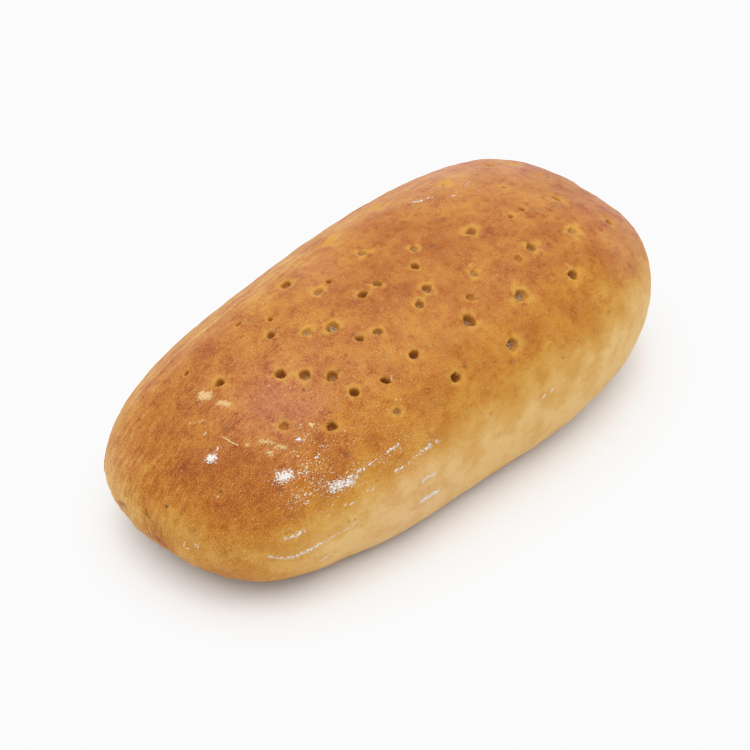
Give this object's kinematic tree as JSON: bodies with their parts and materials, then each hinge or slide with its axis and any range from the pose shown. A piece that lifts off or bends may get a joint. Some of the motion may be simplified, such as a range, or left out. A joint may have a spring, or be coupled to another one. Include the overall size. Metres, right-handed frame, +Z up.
{
  "type": "oblong hearth loaf",
  "caption": "Whole oblong hearth loaf of light wheat and rye bread with a smooth golden-brown crust, docking holes across the top and a flat base.",
  "frame": {"origin": "centre of the bounding box's bottom face, on the surface that the loaf rests on", "axes": "+X along the loaf, from the lower tucked end to the fuller end; +Y across it; +Z up"},
  "size_m": [0.3004, 0.1524, 0.0943],
  "materials": {
    "crust": "baked crust, golden-brown on top with a soft gloss, paler and dull towards the base"
  },
  "bodies": {
    "root": {"loaf": "crust"}
  },
  "joints": []
}
